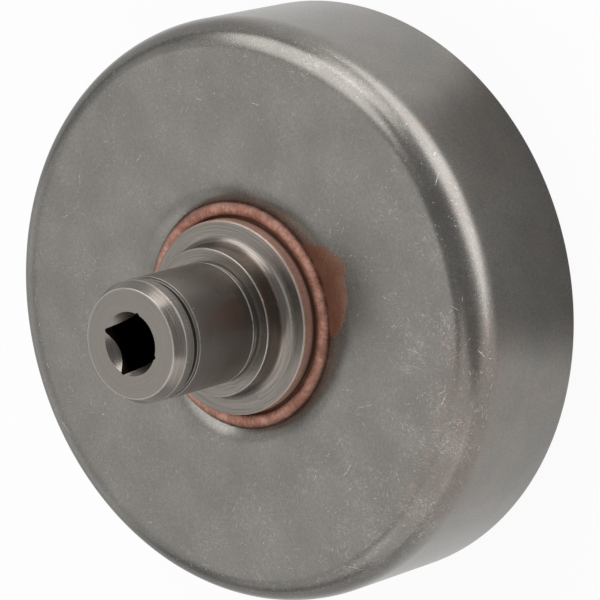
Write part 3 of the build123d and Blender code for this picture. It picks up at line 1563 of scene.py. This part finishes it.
    def build(self, lathe: LatheTree) -> bpy.types.Object:
        """Makes and dresses the bead and the run as one piece.

        Args:
            lathe: The tree that turns profiles.

        Returns:
            The piece.
        """
        copper = self.finish.paint(self.inner_radius, self.bead_radius)
        bead = lathe.turn("braze", self.profile(), self.steps, copper)
        self.lumps(bead.data)
        braze = joined([bead, self.run(copper)])
        settle(braze, "braze_ring")
        return braze


def direction(azimuth: float, elevation: float) -> Vector:
    """A unit vector out of the origin.

    Args:
        azimuth: The turn about Z from X, in degrees.
        elevation: The lift above the floor, in degrees.

    Returns:
        The vector.
    """
    turn, lift = math.radians(azimuth), math.radians(elevation)
    return Vector((math.cos(turn) * math.cos(lift), math.sin(turn) * math.cos(lift), math.sin(lift)))


@dataclass(frozen=True)
class Softbox:
    """A flat soft light that faces the drum, placed by direction. Angles in degrees, sizes in metres."""

    name: str
    azimuth: float
    elevation: float
    width: float
    height: float
    glow: float
    distance: float = 0.6
    flat: bool = False
    flat_height: float = 0.002

    def build(self, aim: Vector) -> None:
        """Adds the light, with its power from its area and glow. A flat one lies low and shines upwards.

        Args:
            aim: The point that it faces.
        """
        data = bpy.data.lights.new(self.name, "AREA")
        data.shape = "RECTANGLE"
        data.size = self.width
        data.size_y = self.height
        data.energy = math.pi * self.width * self.height * self.glow
        lamp = placed(self.name, data)
        outwards = direction(self.azimuth, self.elevation)
        lamp.location = aim + outwards * self.distance
        lamp.rotation_euler = outwards.to_track_quat("Z", "Y").to_euler()
        if self.flat:
            lamp.location.z = self.flat_height
            lamp.rotation_euler = (math.pi, 0.0, math.radians(self.azimuth))
        lamp.visible_camera = False


@dataclass(frozen=True)
class PhotoCamera:
    """The camera of the photograph: above the drum and rolled, so that the shaft points left.

    Angles are in degrees, the lens and its sensor in millimetres, the rest in metres.
    """

    azimuth: float = 261.3
    elevation: float = 49.86
    roll: float = 104.99
    depth: float = 0.63794
    aim_right: float = -0.005282
    aim_up: float = -0.001607
    lens: float = 270.5
    sensor: float = 36.0
    nearest: float = 0.01
    farthest: float = 20.0

    def build(self) -> None:
        """Adds the camera and makes it the scene's own."""
        roll = math.radians(self.roll)
        back = direction(self.azimuth, self.elevation)
        level = Vector((0, 0, 1)).cross(back).normalized()
        upright = back.cross(level)
        right = level * math.cos(roll) - upright * math.sin(roll)
        up = level * math.sin(roll) + upright * math.cos(roll)
        data = bpy.data.cameras.new("photo_camera")
        data.lens = self.lens
        data.sensor_width = self.sensor
        data.clip_start = self.nearest
        data.clip_end = self.farthest
        camera = placed("photo_camera", data)
        camera.rotation_euler = Matrix((right, up, back)).transposed().to_euler()
        camera.location = right * self.aim_right + up * self.aim_up + back * self.depth
        bpy.context.scene.camera = camera


@dataclass(frozen=True)
class Studio:
    """A pale floor, soft lights and an even dim surround.

    In reflections the floor carries painted shadows, close to the drum on one side and further out behind
    it. Each pair of numbers is where such a painted shadow begins or ends: a facing as a cosine, or a radius
    in millimetres.
    """

    surround: Colour = (0.26, 0.26, 0.263)
    floor_colour: Colour = (0.80, 0.80, 0.80)
    floor_roughness: float = 0.9
    floor_size: float = 6.0
    aim_height: float = 0.02
    camera_white: float = 0.93
    glossy_white: float = 0.88
    shade_azimuth: float = math.radians(267.6)
    shade_level: float = 0.31
    shade_sides: tuple[float, float] = (0.80, 0.93)
    shade_end: tuple[float, float] = (57.0, 66.0)
    back_azimuth: float = math.radians(81.3)
    back_level: float = 0.55
    back_sides: tuple[float, float] = (-0.15, 0.15)
    back_start: tuple[float, float] = (52.0, 75.0)
    back_end: tuple[float, float] = (300.0, 500.0)
    boxes: tuple[Softbox, ...] = (
        Softbox("back_panel", 79.0, 67.5, 0.62, 0.80, 0.80),
        Softbox("back_low", 81.0, 14.0, 0.42, 0.32, 0.68),
        Softbox("back_left", 130.0, 30.0, 0.34, 0.32, 0.58),
        Softbox("back_right", 40.0, 30.0, 0.22, 0.30, 0.45),
        Softbox("side_panel", 184.0, 33.0, 0.84, 0.74, 0.88),
        Softbox("side_low", 200.0, 4.2, 0.44, 0.085, 0.55),
        Softbox("key_box", 349.0, 34.0, 0.56, 0.48, 2.4),
        Softbox("key_low", 323.0, 9.2, 0.27, 0.19, 2.3, 0.5),
        Softbox("low_sheet", 284.0, 0.0, 0.358, 0.136, 2.05, 0.241, True),
    )

    def build(self) -> None:
        """Adds floor, lights and surround."""
        scene = bpy.context.scene
        scene.view_settings.view_transform = "Standard"
        world = bpy.data.worlds.new("surround")
        scene.world = world
        world.use_nodes = True
        background = world.node_tree.nodes["Background"]
        background.inputs["Color"].default_value = (*self.surround, 1.0)
        background.inputs["Strength"].default_value = 1.0
        aim = Vector((0.0, 0.0, self.aim_height))
        for box in self.boxes:
            box.build(aim)
        self.floor()

    def floor(self) -> bpy.types.Object:
        """A pale paper floor that looks white and keeps a soft shadow.

        Returns:
            The floor.
        """
        half = self.floor_size / 2
        corners = [(-half, -half, 0.0), (half, -half, 0.0), (half, half, 0.0), (-half, half, 0.0)]
        mesh = bpy.data.meshes.new("floor")
        mesh.from_pydata(corners, [], [(0, 1, 2, 3)])
        mesh.materials.append(self.paper())
        return placed("floor", mesh)

    def paper(self) -> bpy.types.Material:
        """The floor's finish: matt paper, lifted towards white where it is seen, with painted shadows in its
        reflections.

        Returns:
            The material.
        """
        paint = Paint("floor_paper")
        paint.finish((*self.floor_colour, 1.0), self.floor_roughness, 0.0)
        path = paint.node("ShaderNodeLightPath")
        seen, glossy, passed = (
            Value(paint, path.outputs[f"Is {kind} Ray"]) for kind in ("Camera", "Glossy", "Transmission")
        )
        mirrored = glossy.most(passed)
        # Painted shadows, seen only in reflections: close to the drum on the camera's side, and further out
        # behind it.
        shade = paint.facing(self.shade_azimuth).ramp(*self.shade_sides)
        shade = shade * (1 - paint.radius.ramp(*self.shade_end))
        back = paint.facing(self.back_azimuth).ramp(*self.back_sides) * paint.radius.ramp(*self.back_start)
        back = back * (1 - paint.radius.ramp(*self.back_end))
        tone = paint.blend(back * mirrored, (1.0, 1.0, 1.0), (self.back_level,) * 3)
        tone = paint.blend(shade * mirrored, tone, (self.shade_level,) * 3)
        white = paint.node("ShaderNodeEmission", None, {"Color": tone, "Strength": 1.0})
        lifted = (seen * self.camera_white).most(mirrored * self.glossy_white)
        mixed = paint.node(
            "ShaderNodeMixShader", None, {0: lifted, 1: paint.shader.outputs[0], 2: white.outputs[0]}
        )
        output = next(node for node in paint.tree.nodes if node.type == "OUTPUT_MATERIAL")
        paint.tree.links.new(mixed.outputs[0], output.inputs["Surface"])
        return paint.material


def main() -> None:
    """Builds the pieces in order, sized from the CAD boxes, then the studio and camera."""
    logging.basicConfig(level=logging.INFO, format="%(name)s: %(message)s")
    _, drum_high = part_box("drum_cup")
    shaft_low, shaft_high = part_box("hub_shaft")
    lathe = LatheTree()
    cup = DrumCup(radius=drum_high[0] / MM, face=drum_high[2] / MM)
    flange_radius = shaft_high[0] / MM
    shaft = HubShaft(tip_top=shaft_high[2] / MM, base=shaft_low[2] / MM, flange_radius=flange_radius)
    braze = BrazeRing(cup=cup, inner_radius=flange_radius)
    for assembly in (cup, shaft, braze):
        piece = assembly.build(lathe)
        LOG.info("%s: %d faces", piece.name, len(piece.data.polygons))
    Studio().build()
    PhotoCamera().build()


if __name__ == "__main__":
    main()
